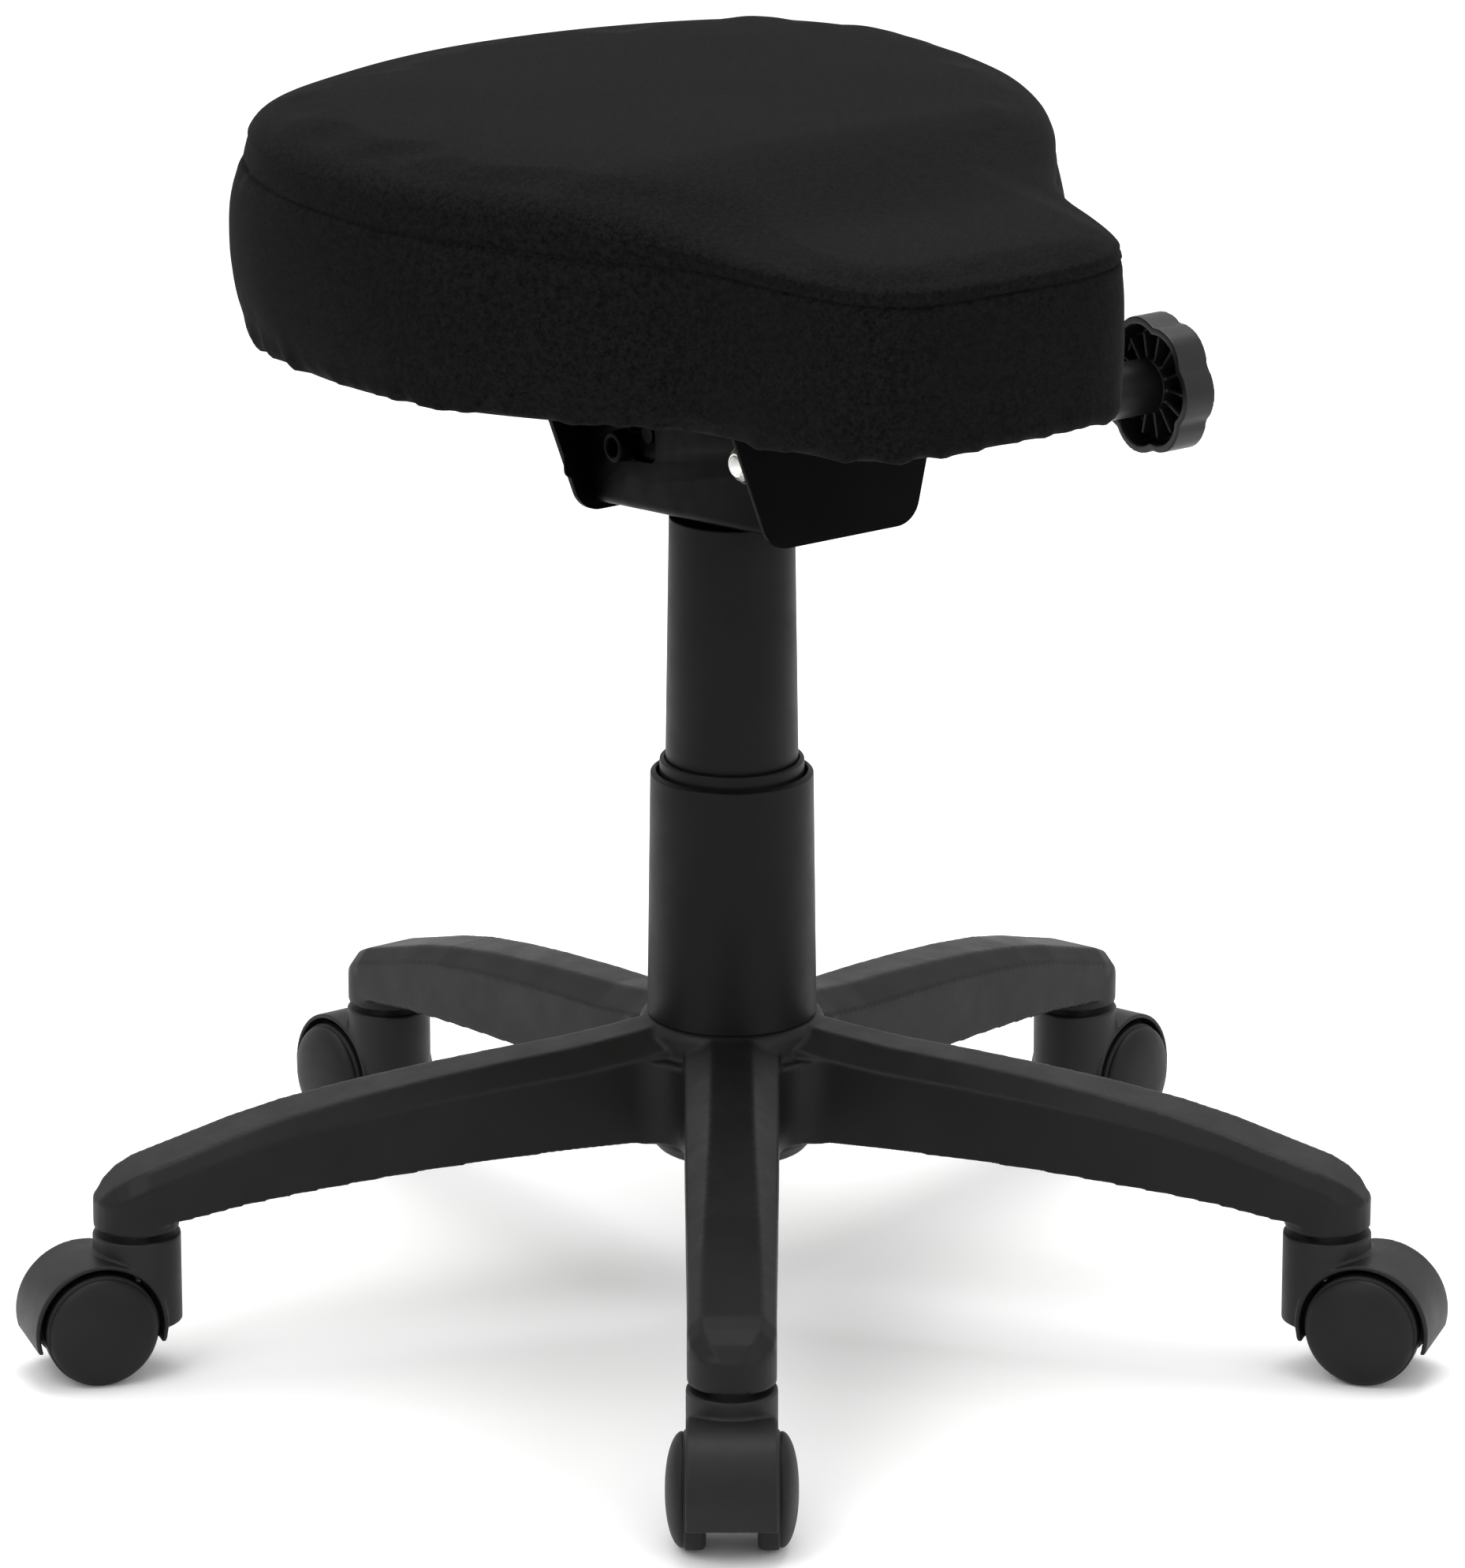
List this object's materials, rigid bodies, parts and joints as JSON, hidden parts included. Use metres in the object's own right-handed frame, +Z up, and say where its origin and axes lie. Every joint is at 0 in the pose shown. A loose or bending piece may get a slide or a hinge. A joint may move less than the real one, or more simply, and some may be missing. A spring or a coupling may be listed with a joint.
{
  "type": "adjustable swivel stool",
  "caption": "Low swivel stool with a pear-shaped saddle seat on a gas lift, side tilt knob, telescopic column covers and a star base on castors.",
  "frame": {"origin": "on the floor plane, where the column axis meets it", "axes": "+Z up along the column, -Y towards the narrow nose of the seat, +X towards the hand knob"},
  "size_m": [0.633, 0.6021, 0.548],
  "materials": {
    "moulded_nylon": "moulded black glass-filled nylon, satin, fine grain",
    "zinc_steel": "bright zinc-plated steel",
    "black_tube": "black stove enamel, semi-gloss",
    "chromed_steel": "hard chrome",
    "acetal": "natural acetal",
    "cover_plastic": "black polypropylene, satin",
    "bearing_steel": "hardened steel, oiled",
    "black_steel": "black powder coat, semi-gloss",
    "knob_plastic": "moulded black plastic, satin",
    "plywood": "birch plywood, sanded",
    "seat_foam": "moulded polyurethane foam",
    "seat_fabric": "fine woven black upholstery fabric, matt",
    "castor_nylon": "moulded black nylon, satin",
    "castor_wheel": "black nylon wheel, light satin"
  },
  "bodies": {
    "base": {"five_star_base": "moulded_nylon", "hub_ring": "zinc_steel", "gas_outer_tube": "black_tube", "guide_bush": "acetal", "lower_cover": "cover_plastic", "middle_cover": "cover_plastic"},
    "piston": {"piston_rod": "chromed_steel", "piston": "acetal", "thrust_bearing": "bearing_steel", "rod_clip": "zinc_steel"},
    "column": {"gas_cylinder": "chromed_steel", "gas_gland": "acetal", "upper_cover": "cover_plastic", "taper_socket": "black_steel", "mech_channel": "black_steel", "front_end_plate": "black_steel", "rear_end_plate": "black_steel", "lever_bush": "black_steel"},
    "valve": {"valve_button": "zinc_steel"},
    "lever": {"lift_lever": "black_tube", "lever_grip": "knob_plastic"},
    "knob": {"pivot_rod": "zinc_steel", "rod_end_cap": "zinc_steel", "knob_sleeve": "black_tube", "tilt_knob": "knob_plastic"},
    "seat": {"seat_plate": "black_steel", "pivot_ears": "black_steel", "stop_studs": "black_steel", "seat_board": "plywood", "seat_foam": "seat_foam", "seat_cover": "seat_fabric", "seat_screws": "zinc_steel", "tee_nuts": "zinc_steel"},
    "castor1": {"castor1_hood": "castor_nylon", "castor1_stem": "zinc_steel", "castor1_axle": "zinc_steel"},
    "castor1_a": {"castor1_wheel_a": "castor_wheel"},
    "castor1_b": {"castor1_wheel_b": "castor_wheel"},
    "castor2": {"castor2_hood": "castor_nylon", "castor2_stem": "zinc_steel", "castor2_axle": "zinc_steel"},
    "castor2_a": {"castor2_wheel_a": "castor_wheel"},
    "castor2_b": {"castor2_wheel_b": "castor_wheel"},
    "castor3": {"castor3_hood": "castor_nylon", "castor3_stem": "zinc_steel", "castor3_axle": "zinc_steel"},
    "castor3_a": {"castor3_wheel_a": "castor_wheel"},
    "castor3_b": {"castor3_wheel_b": "castor_wheel"},
    "castor4": {"castor4_hood": "castor_nylon", "castor4_stem": "zinc_steel", "castor4_axle": "zinc_steel"},
    "castor4_a": {"castor4_wheel_a": "castor_wheel"},
    "castor4_b": {"castor4_wheel_b": "castor_wheel"},
    "castor5": {"castor5_hood": "castor_nylon", "castor5_stem": "zinc_steel", "castor5_axle": "zinc_steel"},
    "castor5_a": {"castor5_wheel_a": "castor_wheel"},
    "castor5_b": {"castor5_wheel_b": "castor_wheel"}
  },
  "joints": [
    {"name": "seat_swivel", "type": "hinge", "parent": "base", "child": "piston", "pos_m": [0, 0, 0.2], "axis": [0, 0, 1], "continuous": true},
    {"name": "seat_height", "type": "slide", "parent": "piston", "child": "column", "axis": [0, 0, 1], "range_m": [-0.1, 0]},
    {"name": "lever_lift", "type": "hinge", "parent": "column", "child": "lever", "pos_m": [0, 0.034, 0.3955], "axis": [1, 0, 0], "range_deg": [0, 5], "stiffness_Nm_per_rad": 1, "springref_deg": -8.59},
    {"name": "valve_press", "type": "slide", "parent": "column", "child": "valve", "axis": [0, 0, 1], "range_m": [-0.003, 0]},
    {"name": "knob_turn", "type": "hinge", "parent": "column", "child": "knob", "pos_m": [0, -0.057, 0.4075], "axis": [1, 0, 0], "continuous": true},
    {"name": "seat_tilt", "type": "hinge", "parent": "column", "child": "seat", "pos_m": [0, -0.057, 0.4075], "axis": [1, 0, 0], "range_deg": [-5.5, 7]},
    {"name": "castor1_swivel", "type": "hinge", "parent": "base", "child": "castor1", "pos_m": [0, 0.2755, 0.06], "axis": [0, 0, 1], "continuous": true},
    {"name": "castor1_wheel_a_spin", "type": "hinge", "parent": "castor1", "child": "castor1_a", "pos_m": [0, 0.2965, 0.025], "axis": [-1, 0, 0], "continuous": true},
    {"name": "castor1_wheel_b_spin", "type": "hinge", "parent": "castor1", "child": "castor1_b", "pos_m": [0, 0.2965, 0.025], "axis": [-1, 0, 0], "continuous": true},
    {"name": "castor2_swivel", "type": "hinge", "parent": "base", "child": "castor2", "pos_m": [-0.26202, 0.08513, 0.06], "axis": [0, 0, 1], "continuous": true},
    {"name": "castor2_wheel_a_spin", "type": "hinge", "parent": "castor2", "child": "castor2_a", "pos_m": [-0.28199, 0.09162, 0.025], "axis": [-0.309, -0.9511, 0], "continuous": true},
    {"name": "castor2_wheel_b_spin", "type": "hinge", "parent": "castor2", "child": "castor2_b", "pos_m": [-0.28199, 0.09162, 0.025], "axis": [-0.309, -0.9511, 0], "continuous": true},
    {"name": "castor3_swivel", "type": "hinge", "parent": "base", "child": "castor3", "pos_m": [-0.16193, -0.22288, 0.06], "axis": [0, 0, 1], "continuous": true},
    {"name": "castor3_wheel_a_spin", "type": "hinge", "parent": "castor3", "child": "castor3_a", "pos_m": [-0.17428, -0.23987, 0.025], "axis": [0.809, -0.5878, 0], "continuous": true},
    {"name": "castor3_wheel_b_spin", "type": "hinge", "parent": "castor3", "child": "castor3_b", "pos_m": [-0.17428, -0.23987, 0.025], "axis": [0.809, -0.5878, 0], "continuous": true},
    {"name": "castor4_swivel", "type": "hinge", "parent": "base", "child": "castor4", "pos_m": [0.16193, -0.22288, 0.06], "axis": [0, 0, 1], "continuous": true},
    {"name": "castor4_wheel_a_spin", "type": "hinge", "parent": "castor4", "child": "castor4_a", "pos_m": [0.17428, -0.23987, 0.025], "axis": [0.809, 0.5878, 0], "continuous": true},
    {"name": "castor4_wheel_b_spin", "type": "hinge", "parent": "castor4", "child": "castor4_b", "pos_m": [0.17428, -0.23987, 0.025], "axis": [0.809, 0.5878, 0], "continuous": true},
    {"name": "castor5_swivel", "type": "hinge", "parent": "base", "child": "castor5", "pos_m": [0.26202, 0.08513, 0.06], "axis": [0, 0, 1], "continuous": true},
    {"name": "castor5_wheel_a_spin", "type": "hinge", "parent": "castor5", "child": "castor5_a", "pos_m": [0.28199, 0.09162, 0.025], "axis": [-0.309, 0.9511, 0], "continuous": true},
    {"name": "castor5_wheel_b_spin", "type": "hinge", "parent": "castor5", "child": "castor5_b", "pos_m": [0.28199, 0.09162, 0.025], "axis": [-0.309, 0.9511, 0], "continuous": true}
  ],
  "couplings": [
    {"joint": "valve_press", "follows": "lever_lift", "m_per_rad": -0.034}
  ]
}
